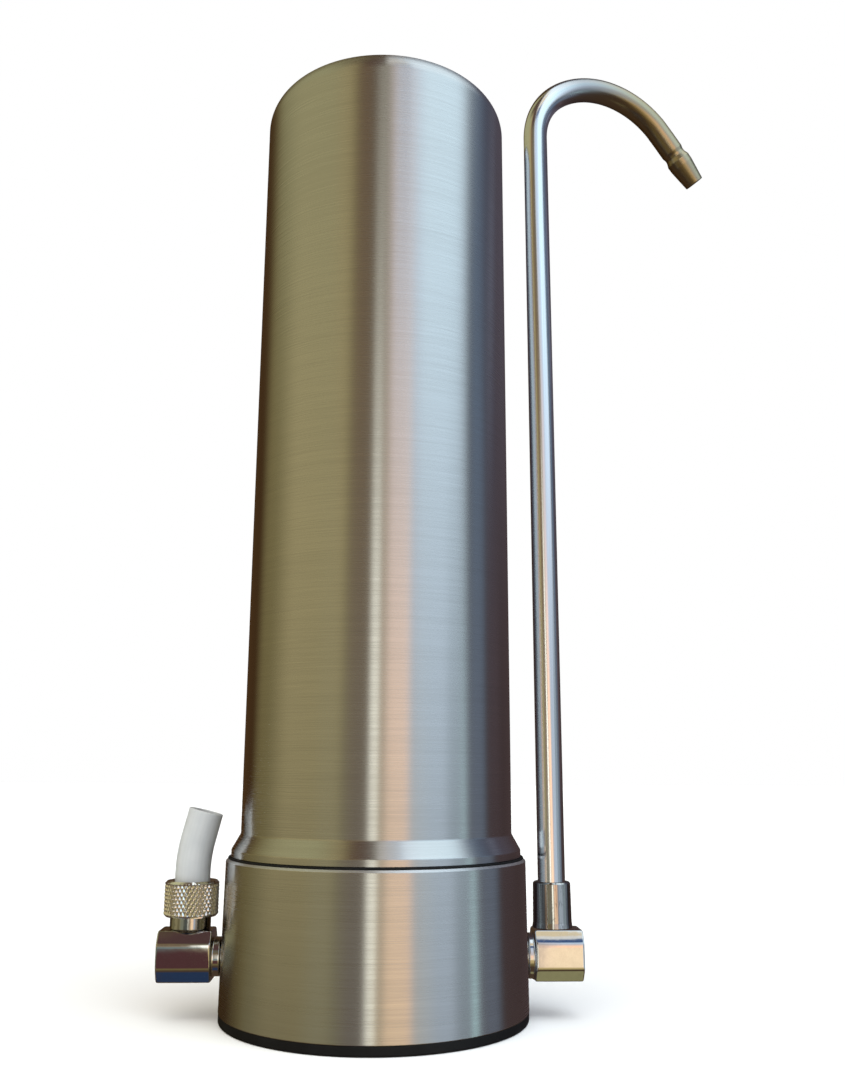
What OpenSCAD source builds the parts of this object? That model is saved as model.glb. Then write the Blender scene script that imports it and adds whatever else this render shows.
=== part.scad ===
// Countertop water filter: a steel canister on a base ring, an inlet elbow with
// a knurled hose nut, and an outlet elbow with a swivelling gooseneck spout.
// Millimetres. Origin at the middle of the foot's underside, +Z up,
// inlet on -X, outlet on +X.

/* [Base] */
// Radius of the black foot
foot_r = 52.6; // [52.4:0.1:52.8]
// Height of the foot that shows under the base ring
foot_h = 3; // [2.6:0.1:3.2]
// Outside radius of the base ring at its lower edge
ring_r_low = 52.7; // [52.6:0.1:53]
// Outside radius of the base ring at its upper edge
ring_r_top = 52.2; // [52.1:0.1:52.4]
// Height of the base ring's top face
ring_top = 52.2; // [52.1:0.1:52.3]
// Wall of the base ring and of the shell
wall = 1.2; // [1:0.1:1.2]

/* [Shell] */
// Outside radius of the canister
shell_r = 47.5; // [47.4:0.1:47.6]
// Height of the canister's flat top
shell_top = 344.6; // [340:0.2:360]
// Radius of the rounded shoulder
shoulder_r = 10.5; // [8:0.5:14]
// Outside radius of the flared lip
lip_r = 50.5; // [50.3:0.1:50.7]
// Height where the flare starts
flare_top = 60.5; // [60:0.1:61]
// Height where the flare ends and the upright lip starts
flare_low = 55.2; // [54.8:0.1:55.6]

/* [Ports] */
// Height of both port axes
port_z = 19.4; // [19:0.1:20]
// Radius of the round boss on the inlet block
in_boss_r = 6.4; // [6.2:0.1:6.6]
// Radius of the round boss on the outlet block
out_boss_r = 7.5; // [7.3:0.1:7.7]
// Distance of the hose nut's axis from the canister's axis
in_axis = 63.9; // [63.5:0.1:64.3]
// Distance of the spout's axis from the canister's axis
out_axis = 61.8; // [61.4:0.1:62.2]
// Half depth of both blocks, front to back
block_hd = 8.3; // [8:0.1:8.6]
// Underside of both blocks
block_z0 = 11.5; // [11.3:0.1:11.7]
// Top face of both blocks
block_z1 = 28.6; // [28.5:0.1:28.7]

/* [Hose] */
// Outside radius of the hose
hose_r = 6; // [5.9:0.05:6]
// Bore radius of the hose
hose_bore = 4.2; // [4:0.1:4.3]
// Lean of the hose's free end, towards the canister
hose_lean = 13.7; // [8:0.1:16]
// Height where the hose starts to lean
hose_mitre = 52.8; // [52:0.2:56]
// Length of the leaning end
hose_end = 15.3; // [15:0.1:18]
// Length of the gauged free end that a coupler slides on
hose_grip = 12.5; // [11:0.1:13]

/* [Spout] */
// Outside radius of the spout tube
tube_r = 4.8; // [4.7:0.05:4.8]
// Bore radius of the spout tube
tube_bore = 4; // [3.8:0.1:4.1]
// Direction of the hook at rest, from +X towards +Y
spout_dir = 20; // [0:1:40]
// Height where the bend starts
bend_z = 338.4; // [330:0.2:360]
// Radius of the first, tight bend
bend_r1 = 29.2; // [26:0.2:34]
// Angle of the first bend
bend_a1 = 50; // [40:1:60]
// Radius of the second, wide bend
bend_r2 = 37.4; // [34:0.2:44]
// Angle of the second bend
bend_a2 = 89; // [80:1:95]
// Straight length after the bends, with the nozzle
hook_end = 26.3; // [22:0.1:30]

/* [Cartridge] */
// Radius of the end caps
cap_r = 31.75; // [30:0.25:34]
// Radius of the carbon block
block_r = 30; // [28.5:0.25:30]
// Length of the cartridge over its caps
cart_len = 254; // [240:1:254]

/* [Hidden] */
$fn = 96;
steel = "#a9a49a";
chrome = "#c9ccd1";
black = "#17181a";
plastic = "#3c4046";
white = "#f2f2f0";

plate_z = foot_h + 1;              // underside of the base plate
head_z = plate_z + 2;              // underside of the head
ring_in_low = ring_r_low - wall;
ring_in_top = ring_r_top - wall;
flange_r = 46;                     // hole in the base ring's top
gasket_top = ring_top + 0.6;
lip_z = gasket_top + 0.05;
screw_pos = [for (a = [45, 135, 225, 315]) [36 * cos(a), 36 * sin(a)]];
spigot_r = 43.8;                   // head's male thread, as a plain cylinder
spigot_top = 80;
cup_r = 38.5;                      // hollow in the spigot
cup_z = 54;
boss_top = 57.95;                  // top of the cartridge socket
sock_r = 12.05;
sock_z = 38;
cart_z = 58;                       // underside of the cartridge's bottom cap
cart_top = cart_z + cart_len;
in_spig = 5.2;                     // inlet elbow's threaded spigot
out_spig = 6.2;                    // outlet elbow's threaded spigot
in_x0 = -74;  in_x1 = -55.4;       // inlet block, far and near ends
out_x0 = 54.6; out_x1 = 71.6;      // outlet block, near and far ends
stem_r = 6.95;
stem_top = 41;
nut_r = 9.3;
nut_z0 = 32.6; nut_z1 = 44.4;
hose_z0 = 36;                      // hose end inside the stem
hose_neck = 47;                    // from here to the gauged end the hose necks in at its bend
collar_top = 44;
spout_z0 = 30;                     // spout's lower end inside the collar
// the hook's corner points in its own plane: distance out, height
hook_e = [bend_r1 * (1 - cos(bend_a1)), bend_z + bend_r1 * sin(bend_a1)];
hook_c = [hook_e[0] + bend_r2 * cos(bend_a1), hook_e[1] - bend_r2 * sin(bend_a1)];
hook_a = bend_a1 + bend_a2;
hook_f = [hook_c[0] - bend_r2 * cos(hook_a), hook_c[1] + bend_r2 * sin(hook_a)];
// swaged nozzle: distance from the square end, step in radius
nozzle = [[17, 0], [15.7, -0.35], [14.5, -0.35], [12.7, 0.35], [11.4, 0.45], [9.6, 0.35], [0.4, -0.7], [0, -0.9]];
// the bends are short mitred lengths of tube, each touching the bend at its middle
steps1 = 5;
steps2 = 9;
d1 = bend_a1 / steps1;
d2 = bend_a2 / steps2;
// lean of each length, and the corners between them: distance out, height
lean = concat([for (i = [0 : steps1 - 1]) i * d1], [for (i = [0 : steps2]) bend_a1 + i * d2]);
corner = concat(
    [for (i = [0 : steps1 - 1]) let(t = (i + 0.5) * d1, r = bend_r1 / cos(d1 / 2))
        [bend_r1 - r * cos(t), bend_z + r * sin(t)]],
    [for (i = [0 : steps2 - 1]) let(t = bend_a1 + (i + 0.5) * d2, r = bend_r2 / cos(d2 / 2))
        [hook_c[0] - r * cos(t), hook_c[1] + r * sin(t)]]);

module ring(ro, ri, z0, z1) {
    translate([0, 0, z0]) difference() {
        cylinder(r = ro, h = z1 - z0);
        translate([0, 0, -1]) cylinder(r = ri, h = z1 - z0 + 2);
    }
}
module torus(rc, r, z) {
    translate([0, 0, z]) rotate_extrude() translate([rc, 0]) circle(r = r, $fn = 32);
}
module rod_x(r, x0, x1, z) {
    translate([x0, 0, z]) rotate([0, 90, 0]) cylinder(r = r, h = x1 - x0);
}

module foot_pad() color(black) difference() {
    union() {
        cylinder(r1 = foot_r - 0.5, r2 = foot_r, h = 0.5);
        translate([0, 0, 0.5]) cylinder(r = foot_r, h = foot_h - 0.5);
        cylinder(r = 50.6, h = plate_z);
    }
    for (p = screw_pos) translate([p[0], p[1], plate_z - 2]) cylinder(r = 4.2, h = 3);
}
module base_plate() color("#8d8f92") difference() {
    translate([0, 0, plate_z]) cylinder(r = 50.6, h = 2);
    for (p = screw_pos) translate([p[0], p[1], plate_z - 1]) cylinder(r = 2.2, h = 4);
}
module base_screws() color("#9b9ea3")
    for (p = screw_pos) translate([p[0], p[1], 0]) {
        difference() {
            translate([0, 0, plate_z - 1.8]) cylinder(r = 3.6, h = 1.8);
            for (a = [0, 90]) rotate([0, 0, a])
                translate([-1.6, -0.4, plate_z - 2.8]) cube([3.2, 0.8, 1.9]);
        }
        translate([0, 0, plate_z]) cylinder(r = 1.6, h = 12);
    }
module base_ring() color(steel) difference() {
    rotate_extrude() polygon([
        [ring_in_low, foot_h], [ring_r_low, foot_h], [ring_r_top, ring_top - 0.7],
        [ring_r_top - 0.7, ring_top], [flange_r, ring_top], [flange_r, ring_top - wall],
        [ring_in_top, ring_top - wall]]);
    rod_x(in_spig + 0.3, -60, -40, port_z);
    rod_x(out_spig + 0.3, 40, 60, port_z);
}
module head() color(plastic) difference() {
    union() {
        ring(50.4, 47.2, head_z, 45);
        translate([0, 0, 44]) cylinder(r = 50.4, h = ring_top - wall - 44);
        translate([0, 0, 48]) cylinder(r = flange_r - 0.1, h = ring_top - 48);
        ring(spigot_r, cup_r, 50, spigot_top);
        translate([0, 0, 50]) cylinder(r = 40, h = cup_z - 50);
        translate([0, 0, 12]) cylinder(r = 17, h = boss_top - 12);
        intersection() {
            union() {
                rod_x(10.5, -49, -10, port_z);
                rod_x(10.5, 10, 49, port_z);
            }
            translate([0, 0, head_z]) cylinder(r = 50.4, h = 40);
        }
        for (p = screw_pos) translate([p[0], p[1], head_z]) cylinder(r = 5, h = 40);
    }
    // ports and water ways
    rod_x(in_spig + 0.05, -60, -38, port_z);
    rod_x(3.6, -39, -27, port_z);
    translate([-27, 0, port_z]) cylinder(r = 3.6, h = 40);
    rod_x(out_spig + 0.05, 38, 60, port_z);
    rod_x(4, 0, 39, port_z);
    translate([0, 0, port_z]) cylinder(r = 4, h = 25);
    translate([0, 0, sock_z]) cylinder(r = sock_r, h = 30);
    for (p = screw_pos) translate([p[0], p[1], head_z - 1]) cylinder(r = 1.65, h = 13);
}

// chrome block: three extruded outlines cut each other
module block(x0, x1) {
    l = x1 - x0;
    h = block_z1 - block_z0;
    intersection() {
        translate([x0, 0, block_z0]) rotate([90, 0, 90]) linear_extrude(l) polygon([
            [-block_hd + 3.6, 0], [block_hd - 3.6, 0], [block_hd, 4.6], [block_hd, h - 4.6],
            [block_hd - 0.9, h - 2.25], [block_hd - 2.9, h], [-block_hd + 2.9, h],
            [-block_hd + 0.9, h - 2.25], [-block_hd, h - 4.6], [-block_hd, 4.6]]);
        translate([x0, block_hd + 1, block_z0]) rotate([90, 0, 0]) linear_extrude(2 * block_hd + 2)
            polygon([[0.9, 0], [l - 0.9, 0], [l, 1.1], [l, h - 1.3], [l - 1, h],
                     [1, h], [0, h - 1.3], [0, 1.1]]);
        translate([(x0 + x1) / 2, 0, block_z0 - 1]) linear_extrude(h + 2) union() {
            square([l - 2.4, 2 * block_hd], center = true);
            square([l, 2 * block_hd - 2.4], center = true);
            for (sx = [-1, 1], sy = [-1, 1])
                translate([sx * (l / 2 - 1.2), sy * (block_hd - 1.2)]) circle(r = 1.2, $fn = 32);
        }
    }
}
module inlet_elbow() color(chrome) difference() {
    union() {
        block(in_x0, in_x1);
        difference() {
            rod_x(in_boss_r, in_x1 - 1, -48, port_z);
            cylinder(r = ring_r_low + 0.1, h = 40);
        }
        rod_x(in_spig, in_x1 - 1, -38.2, port_z);
    }
    rod_x(3, -in_axis, -30, port_z);
    translate([-in_axis, 0, port_z]) cylinder(r = 5.05, h = 20);
    translate([-43, 0, port_z]) rotate([0, 90, 0]) ring(7, 4, 0, 1.4);
}
module inlet_o_ring() color(black)
    translate([-42.3, 0, port_z]) rotate([0, 90, 0]) torus(4.62, 0.58, 0);
module inlet_stem() color(chrome) difference() {
    union() {
        translate([-in_axis, 0, port_z + 3.2]) cylinder(r = 5, h = 12);
        translate([-in_axis, 0, block_z1]) cylinder(r = stem_r, h = stem_top - block_z1);
    }
    translate([-in_axis, 0, port_z]) cylinder(r = 3.4, h = 40);
    translate([-in_axis, 0, hose_z0]) cylinder(r = hose_r + 0.05, h = 20);
}
// hose: an upright pipe and a leaning one, mitred where they meet
module inlet_hose() color(white) translate([-in_axis, 0, hose_mitre]) {
    thin = hose_r - 0.3;
    difference() {
        rotate_extrude() polygon([
            [hose_bore, hose_z0 - hose_mitre], [hose_r, hose_z0 - hose_mitre], [hose_r, hose_neck - hose_mitre],
            [thin, hose_neck - hose_mitre], [thin, 6], [hose_bore, 6]]);
        rotate([0, hose_lean / 2, 0]) translate([-20, -20, 0]) cube(40);
    }
    difference() {
        rotate([0, hose_lean, 0]) rotate_extrude() polygon([
            [hose_bore, -6], [thin, -6], [thin, hose_end - hose_grip], [hose_r, hose_end - hose_grip],
            [hose_r, hose_end], [hose_bore, hose_end]]);
        rotate([0, hose_lean / 2, 0]) translate([-20, -20, -40]) cube(40);
    }
}
module hose_insert() color("#c9b27a")
    translate([-in_axis, 0, 0]) ring(hose_bore - 0.05, 3.4, hose_z0, 46);
module hose_ferrule() color("#e4e0d2")
    translate([-in_axis, 0, 0]) ring(stem_r, hose_r + 0.3, stem_top + 0.3, stem_top + 1.3);
module knurled_nut() color(chrome) translate([-in_axis, 0, 0]) difference() {
    union() {
        translate([0, 0, nut_z0]) cylinder(r1 = nut_r - 0.8, r2 = nut_r, h = 0.8);
        translate([0, 0, nut_z0 + 0.8]) cylinder(r = nut_r, h = nut_z1 - nut_z0 - 1.6);
        translate([0, 0, nut_z1 - 0.8]) cylinder(r1 = nut_r, r2 = nut_r - 0.8, h = 0.8);
    }
    translate([0, 0, nut_z0 - 1]) cylinder(r = stem_r + 0.3, h = stem_top + 2.6 - nut_z0);
    translate([0, 0, nut_z0]) cylinder(r = hose_r + 0.3, h = 20);
}

module outlet_elbow() color(chrome) difference() {
    union() {
        block(out_x0, out_x1);
        difference() {
            rod_x(out_boss_r, 48, out_x0 + 1, port_z);
            cylinder(r = ring_r_low + 0.1, h = 40);
        }
        rod_x(out_spig, 38.2, out_x0 + 1, port_z);
    }
    rod_x(3.6, 30, out_axis, port_z);
    translate([out_axis, 0, port_z]) cylinder(r = 5.05, h = 20);
    translate([41.6, 0, port_z]) rotate([0, 90, 0]) ring(8, 4.8, 0, 1.6);
}
module outlet_o_ring() color(black)
    translate([42.4, 0, port_z]) rotate([0, 90, 0]) torus(5.5, 0.68, 0);
module spout_collar() color(chrome) translate([out_axis, 0, 0]) difference() {
    union() {
        translate([0, 0, block_z1]) cylinder(r1 = 7.05, r2 = 6.75, h = 2);
        translate([0, 0, block_z1 + 2]) cylinder(r1 = 6.75, r2 = 6.55, h = collar_top - block_z1 - 2.5);
        translate([0, 0, collar_top - 0.5]) cylinder(r1 = 6.55, r2 = 6.1, h = 0.5);
        translate([0, 0, port_z + 4.2]) cylinder(r = 5, h = 8);
    }
    translate([0, 0, port_z]) cylinder(r = 3.6, h = 20);
    translate([0, 0, spout_z0 - 0.5]) cylinder(r = 5.8, h = 20);
}
module spout_bush() color("#2b2c2e")
    translate([out_axis, 0, 0]) ring(5.75, tube_r + 0.06, 36, collar_top);

// hook of the spout, in the X-Z plane of its own frame
module in_spout_frame() translate([out_axis, 0, 0]) rotate([0, 0, spout_dir]) children();
// half-space above or below the mitre at corner k
module above(k) translate([corner[k][0], 0, corner[k][1]])
    rotate([0, (lean[k] + lean[k + 1]) / 2, 0]) translate([-20, -20, 0]) cube(40);
module below(k) translate([corner[k][0], 0, corner[k][1]])
    rotate([0, (lean[k] + lean[k + 1]) / 2, 0]) translate([-20, -20, -40]) cube(40);
module spout_tube() color("#b7b9bd") in_spout_frame() {
    // upright tube with the clip's groove near its lower end
    difference() {
        rotate_extrude() polygon([
            [tube_bore, spout_z0], [tube_r, spout_z0], [tube_r, 34.95], [tube_r - 0.25, 34.95],
            [tube_r - 0.25, 35.75], [tube_r, 35.75], [tube_r, bend_z + 10], [tube_bore, bend_z + 10]]);
        above(0);
    }
    for (k = [1 : len(corner) - 1]) difference() {
        translate([corner[k][0], 0, corner[k][1]]) rotate([0, lean[k], 0]) ring(tube_r, tube_bore, -12, 5);
        below(k - 1);
        above(k);
    }
    // straight end with the swaged nozzle: neck, bulge, taper, square end
    difference() {
        translate([hook_f[0], 0, hook_f[1]]) rotate([0, hook_a, 0]) rotate_extrude() polygon(concat(
            [[tube_bore, -8], [tube_r, -8]],
            [for (q = nozzle) [tube_r + q[1], hook_end - q[0]]],
            [[tube_r - 1.6, hook_end], [tube_r - 1.6, hook_end - 1], [tube_bore, hook_end - 9]]));
        below(len(corner) - 1);
    }
}
module spout_o_rings() color(black) translate([out_axis, 0, 0]) {
    torus(5.27, 0.45, 31.8);
    torus(5.27, 0.45, 33.4);
}
module spout_clip() color("#9b9ea3") in_spout_frame() difference() {
    ring(5.55, tube_r - 0.23, 35, 35.7);
    translate([2, -2.6, 34]) cube([8, 5.2, 3]);
}

module seam_gasket() color(black) ring(ring_r_top - 0.75, flange_r + 0.4, ring_top + 0.02, gasket_top);
module shell_o_ring() color(black) torus(45.05, 0.95, 64.2);
module shell_outline(r, top, rr, lip, fl_top, fl_low, z0) {
    translate([0, z0]) square([r, top - rr - z0]);
    translate([0, z0]) square([r - rr, top - z0]);
    translate([r - rr, top - rr]) circle(r = rr);
    polygon([[0, z0], [lip, z0], [lip, fl_low], [r, fl_top], [0, fl_top]]);
}
module shell() color(steel) rotate_extrude() difference() {
    shell_outline(shell_r, shell_top, shoulder_r, lip_r, flare_top, flare_low, lip_z);
    shell_outline(shell_r - wall, shell_top - wall, shoulder_r - wall, lip_r - wall,
                  flare_top + 0.5, flare_low + 0.5, lip_z - 1);
}
module shell_thread_ring() color("#8b8d8f") ring(shell_r - wall - 0.05, spigot_r + 0.35, 65.6, 78);

module carbon_block() color("#1d1d1f") ring(block_r, 12, cart_z + 6, cart_top - 6);
module cartridge_wrap() color("#ecebe6") ring(block_r + 0.85, block_r + 0.05, cart_z + 12.2, cart_top - 12.2);
module cartridge_core() color("#dfe2e4") difference() {
    ring(11.9, 10.4, cart_z + 6, cart_top - 6);
    for (k = [0 : 7], a = [0, 90])
        translate([0, 0, cart_z + 24 + k * 28]) rotate([0, 0, a + 45 * (k % 2)])
            translate([-15, -1.5, 0]) cube([30, 3, 10]);
}
module cartridge_top_cap() color("#2f6fb0") {
    difference() {
        union() {
            translate([0, 0, cart_top - 12]) cylinder(r = cap_r, h = 11.2);
            translate([0, 0, cart_top - 0.8]) cylinder(r1 = cap_r, r2 = cap_r - 0.8, h = 0.8);
        }
        translate([0, 0, cart_top - 20]) cylinder(r = block_r + 0.05, h = 14);
        translate([0, 0, cart_top - 1.6]) ring(24, 14, 0, 4);
    }
    translate([0, 0, cart_top - 9]) cylinder(r = 10.3, h = 4);
}
module cartridge_bottom_cap() color("#2f6fb0") difference() {
    union() {
        cylinder_between(cap_r, cart_z, cart_z + 12);
        cylinder_between(11.6, sock_z + 3, cart_z + 1);
        cylinder_between(10.3, cart_z + 5, cart_z + 9);
    }
    difference() {
        cylinder_between(block_r + 0.05, cart_z + 6, cart_z + 20);
        cylinder_between(10.3, cart_z, cart_z + 9);
    }
    cylinder_between(6, sock_z, cart_z + 30);
    ring(14, 9.85, sock_z + 6, sock_z + 8.2);
    ring(14, 9.85, sock_z + 11, sock_z + 13.2);
}
module cylinder_between(r, z0, z1) {
    translate([0, 0, z0]) cylinder(r = r, h = z1 - z0);
}
module cartridge_o_rings() color(black) {
    torus(10.88, 1, sock_z + 7.1);
    torus(10.88, 1, sock_z + 12.1);
}

foot_pad();
base_plate();
base_screws();
base_ring();
head();
inlet_elbow();
inlet_o_ring();
inlet_stem();
inlet_hose();
hose_insert();
hose_ferrule();
knurled_nut();
outlet_elbow();
outlet_o_ring();
spout_collar();
spout_bush();
spout_tube();
spout_o_rings();
spout_clip();
seam_gasket();
shell_o_ring();
shell();
shell_thread_ring();
carbon_block();
cartridge_wrap();
cartridge_core();
cartridge_top_cap();
cartridge_bottom_cap();
cartridge_o_rings();
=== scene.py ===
import math

import bpy
import numpy as np
from mathutils import Matrix, Vector


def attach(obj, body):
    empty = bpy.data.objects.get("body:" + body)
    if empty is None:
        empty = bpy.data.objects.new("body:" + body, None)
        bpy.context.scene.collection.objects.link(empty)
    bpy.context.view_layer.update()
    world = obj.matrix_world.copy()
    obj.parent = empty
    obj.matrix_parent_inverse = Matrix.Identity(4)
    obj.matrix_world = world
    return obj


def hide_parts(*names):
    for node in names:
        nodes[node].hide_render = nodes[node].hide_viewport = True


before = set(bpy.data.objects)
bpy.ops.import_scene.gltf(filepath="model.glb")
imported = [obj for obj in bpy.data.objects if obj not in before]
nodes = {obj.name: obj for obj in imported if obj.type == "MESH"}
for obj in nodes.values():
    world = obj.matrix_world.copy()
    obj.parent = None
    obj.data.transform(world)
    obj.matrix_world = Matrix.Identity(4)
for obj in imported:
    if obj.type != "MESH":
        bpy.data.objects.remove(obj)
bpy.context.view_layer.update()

scene = bpy.context.scene

MM = 0.001
STEEL_GAIN = 0.60          # mean reflectance of the brushed steel


# ---------------------------------------------------------------- small tools
def lin(r, g, b):
    """A display colour, 0 to 255, as a linear one."""
    out = []
    for c in (r, g, b):
        c /= 255.0
        out.append(c / 12.92 if c <= 0.04045 else ((c + 0.055) / 1.055) ** 2.4)
    return tuple(out)


def link_object(ob):
    scene.collection.objects.link(ob)
    return ob


def mesh_object(name, verts, faces, normals=None, uvs=None, sharp=None):
    """A smooth-shaded mesh object. verts in mm, uvs one pair per face corner in mm."""
    me = bpy.data.meshes.new(name)
    me.from_pydata([tuple(float(c) * MM for c in v) for v in verts], [], faces)
    me.polygons.foreach_set("use_smooth", [True] * len(me.polygons))
    if uvs is not None:
        layer = me.uv_layers.new(name="path")
        layer.data.foreach_set("uv", (np.asarray(uvs, float) * MM).ravel())
    me.validate()
    if normals is not None:
        me.normals_split_custom_set_from_vertices([tuple(float(c) for c in n) for n in normals])
    if sharp is not None:
        me.set_sharp_from_angle(angle=math.radians(sharp))
    me.update()
    return link_object(bpy.data.objects.new(name, me))


def rounded(corners, closed=True):
    """The outline through corners (r, s, fillet, steps), interior on its left, with its outward normals."""
    pts, nrm = [], []
    n = len(corners)
    xy = [np.array(c[:2], float) for c in corners]
    for i, c in enumerate(corners):
        p = xy[i]
        rad = c[2] if len(c) > 2 else 0.0
        steps = c[3] if len(c) > 3 else 6
        if not closed and i in (0, n - 1):
            d = xy[1] - xy[0] if i == 0 else xy[-1] - xy[-2]
            d = d / np.linalg.norm(d)
            pts.append(p)
            nrm.append(np.array((d[1], -d[0])))
            continue
        a, b = xy[i - 1] - p, xy[(i + 1) % n] - p
        la, lb = np.linalg.norm(a), np.linalg.norm(b)
        a, b = a / la, b / lb
        ang = math.acos(max(-1.0, min(1.0, float(a @ b))))
        turn = -a[0] * b[1] + a[1] * b[0]
        if rad <= 0 or math.pi - ang < 1e-4:
            d = b - a
            d = d / np.linalg.norm(d)
            pts.append(p)
            nrm.append(np.array((d[1], -d[0])))
            continue
        t = rad / math.tan(ang / 2)
        lim = 0.49 * min(la, lb)
        if t > lim:
            t = lim
            rad = t * math.tan(ang / 2)
        mid = (a + b) / np.linalg.norm(a + b)
        centre = p + mid * rad / math.sin(ang / 2)
        v0, v1 = p + a * t - centre, p + b * t - centre
        w0 = math.atan2(v0[1], v0[0])
        sweep = math.atan2(v0[0] * v1[1] - v0[1] * v1[0], float(v0 @ v1))
        for k in range(steps + 1):
            w = w0 + sweep * k / steps
            d = np.array((math.cos(w), math.sin(w)))
            pts.append(centre + rad * d)
            nrm.append(d if turn > 0 else -d)
    return pts, nrm


def subdivide(pts, nrm, closed, longest):
    """Adds points on long runs of an outline; longest(s) is the longest step allowed there."""
    op, on = [], []
    n = len(pts)
    for i in range(n):
        op.append(pts[i])
        on.append(nrm[i])
        if i == n - 1 and not closed:
            break
        p, q = pts[i], pts[(i + 1) % n]
        ds = abs(q[1] - p[1])
        if ds < 1e-9:
            continue
        stops = [0.0]
        while stops[-1] < 1.0:
            s = p[1] + (q[1] - p[1]) * stops[-1]
            stops.append(stops[-1] + longest(s) / ds)
        k = len(stops) - 1
        for j in range(1, k):
            t = stops[j] / stops[-1]
            m = nrm[i] * (1 - t) + nrm[(i + 1) % n] * t
            op.append(p * (1 - t) + q * t)
            on.append(m / max(np.linalg.norm(m), 1e-9))
    return op, on


def turned(name, corners, seg=160, closed=True, at=None, longest=None, wave=None):
    """A solid swept round an axis or along a path. corners are (radius, distance along, fillet, steps);
    wave(angles, radius, distance) may change the radius round the axis."""
    pts, nrm = rounded(corners, closed)
    if longest is not None:
        pts, nrm = subdivide(pts, nrm, closed, longest)
    if at is None:
        at = axis_frame(0, 0)
    ang = np.arange(seg) * (2 * math.pi / seg)
    ca, sa = np.cos(ang)[:, None], np.sin(ang)[:, None]
    verts, norms, rows, run = [], [], [], [0.0]
    for i, ((r, s), (nr, ns)) in enumerate(zip(pts, nrm)):
        P, N, B, T = at(s)
        if i:
            run.append(run[-1] + float(np.linalg.norm(pts[i] - pts[i - 1])))
        if r < 1e-6:
            rows.append([len(verts)] * seg)
            verts.append(P)
            norms.append(T * (1 if ns > 0 else -1))
            continue
        rad = ca * N + sa * B
        base = len(verts)
        rows.append(list(range(base, base + seg)))
        verts.extend(P + (r if wave is None else wave(ang, r, s)[:, None]) * rad)
        norms.extend(nr * rad + ns * T)
    faces, uvs = [], []
    big = max(float(p[0]) for p in pts)
    n = len(rows)
    for i in range(n if closed else n - 1):
        a, b = rows[i], rows[(i + 1) % n]
        v0 = run[i]
        v1 = run[i + 1] if i + 1 < n else run[i] + float(np.linalg.norm(pts[0] - pts[i]))
        for k in range(seg):
            k2 = (k + 1) % seg
            u0, u1 = ang[k] * big, (ang[k] + 2 * math.pi / seg) * big
            quad = [(a[k], u0, v0), (a[k2], u1, v0), (b[k2], u1, v1), (b[k], u0, v1)]
            keep, seen = [], set()
            for q in quad:
                if q[0] not in seen:
                    seen.add(q[0])
                    keep.append(q)
            if len(keep) < 3:
                continue
            faces.append([q[0] for q in keep])
            uvs.extend((q[1], q[2]) for q in keep)
    if wave is not None:
        return mesh_object(name, verts, faces, None, uvs, sharp=40)
    return mesh_object(name, verts, faces, norms, uvs)


def axis_frame(cx, cy):
    X, Y, Z = np.eye(3)
    return lambda s: (np.array((cx, cy, s), float), X, Y, Z)


def pierce(ob, corners, holes):
    """Cuts round holes along X through a piece turned about Z. holes are (radius, x0, x1, z), mm."""
    for r, x0, x1, z in holes:
        cut = turned("port_cutter", [(0.0, x0), (r, x0), (r, x1), (0.0, x1)], seg=96, closed=False,
                     at=lambda t: (np.array((t, 0.0, z)), np.array((0.0, 1.0, 0.0)), np.array((0.0, 0.0, 1.0)), np.array((1.0, 0.0, 0.0))))
        mod = ob.modifiers.new("port", "BOOLEAN")
        mod.operation = "DIFFERENCE"
        mod.solver = "EXACT"
        mod.object = cut
        bpy.context.view_layer.update()
        dg = bpy.context.evaluated_depsgraph_get()
        me = bpy.data.meshes.new_from_object(ob.evaluated_get(dg), depsgraph=dg)
        ob.modifiers.clear()
        ob.data = me
        bpy.data.objects.remove(cut)
    # normals again: from the outline on the turned faces, from the axis on the holes' walls
    pts, nrm = rounded(corners, True)
    P, N = np.array(pts), np.array(nrm)
    Q, K = np.roll(P, -1, 0), np.roll(N, -1, 0)
    D = Q - P
    L = np.maximum((D * D).sum(1), 1e-12)
    me = ob.data
    me.name = ob.name
    co = np.array([v.co for v in me.vertices]) / MM
    out = [None] * len(me.loops)
    for f in me.polygons:
        c = np.mean(co[list(f.vertices)], 0)
        c2 = np.array((math.hypot(c[0], c[1]), c[2]))
        t = np.clip(((c2 - P) * D).sum(1) / L, 0, 1)
        j = int(np.argmin(((P + t[:, None] * D - c2) ** 2).sum(1)))
        side = (N[j] + K[j]) / 2
        n3 = np.array((side[0] * c[0] / c2[0], side[0] * c[1] / c2[0], side[1]))
        on = float(n3 @ np.array(f.normal)) > 0.8 * np.linalg.norm(n3)
        for li, vi in zip(f.loop_indices, f.vertices):
            v = co[vi]
            if on:
                r = math.hypot(v[0], v[1])
                u = float(np.clip((np.array((r, v[2])) - P[j]) @ D[j] / L[j], 0, 1))
                m = N[j] * (1 - u) + K[j] * u
                w = np.array((m[0] * v[0] / r, m[0] * v[1] / r, m[1]))
            else:
                z = min(holes, key=lambda h: abs(v[0] - (h[1] + h[2]) / 2))[3]
                w = -np.array((0.0, v[1], v[2] - z))
            out[li] = tuple(w / np.linalg.norm(w))
    me.polygons.foreach_set("use_smooth", [True] * len(me.polygons))
    me.normals_split_custom_set(out)
    me.update()
    return ob


# distance-like fields, mm, negative inside
def smax(a, b, k):
    h = np.maximum(k - np.abs(a - b), 0.0)
    return np.maximum(a, b) + h * h / (4 * k)


def smin(a, b, k):
    return -smax(-a, -b, k)


def convex(u, v, poly, k):
    f = None
    for i in range(len(poly)):
        (u0, v0), (u1, v1) = poly[i], poly[(i + 1) % len(poly)]
        du, dv = u1 - u0, v1 - v0
        d = ((u - u0) * dv - (v - v0) * du) / math.hypot(du, dv)
        f = d if f is None else smax(f, d, k)
    return f


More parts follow.
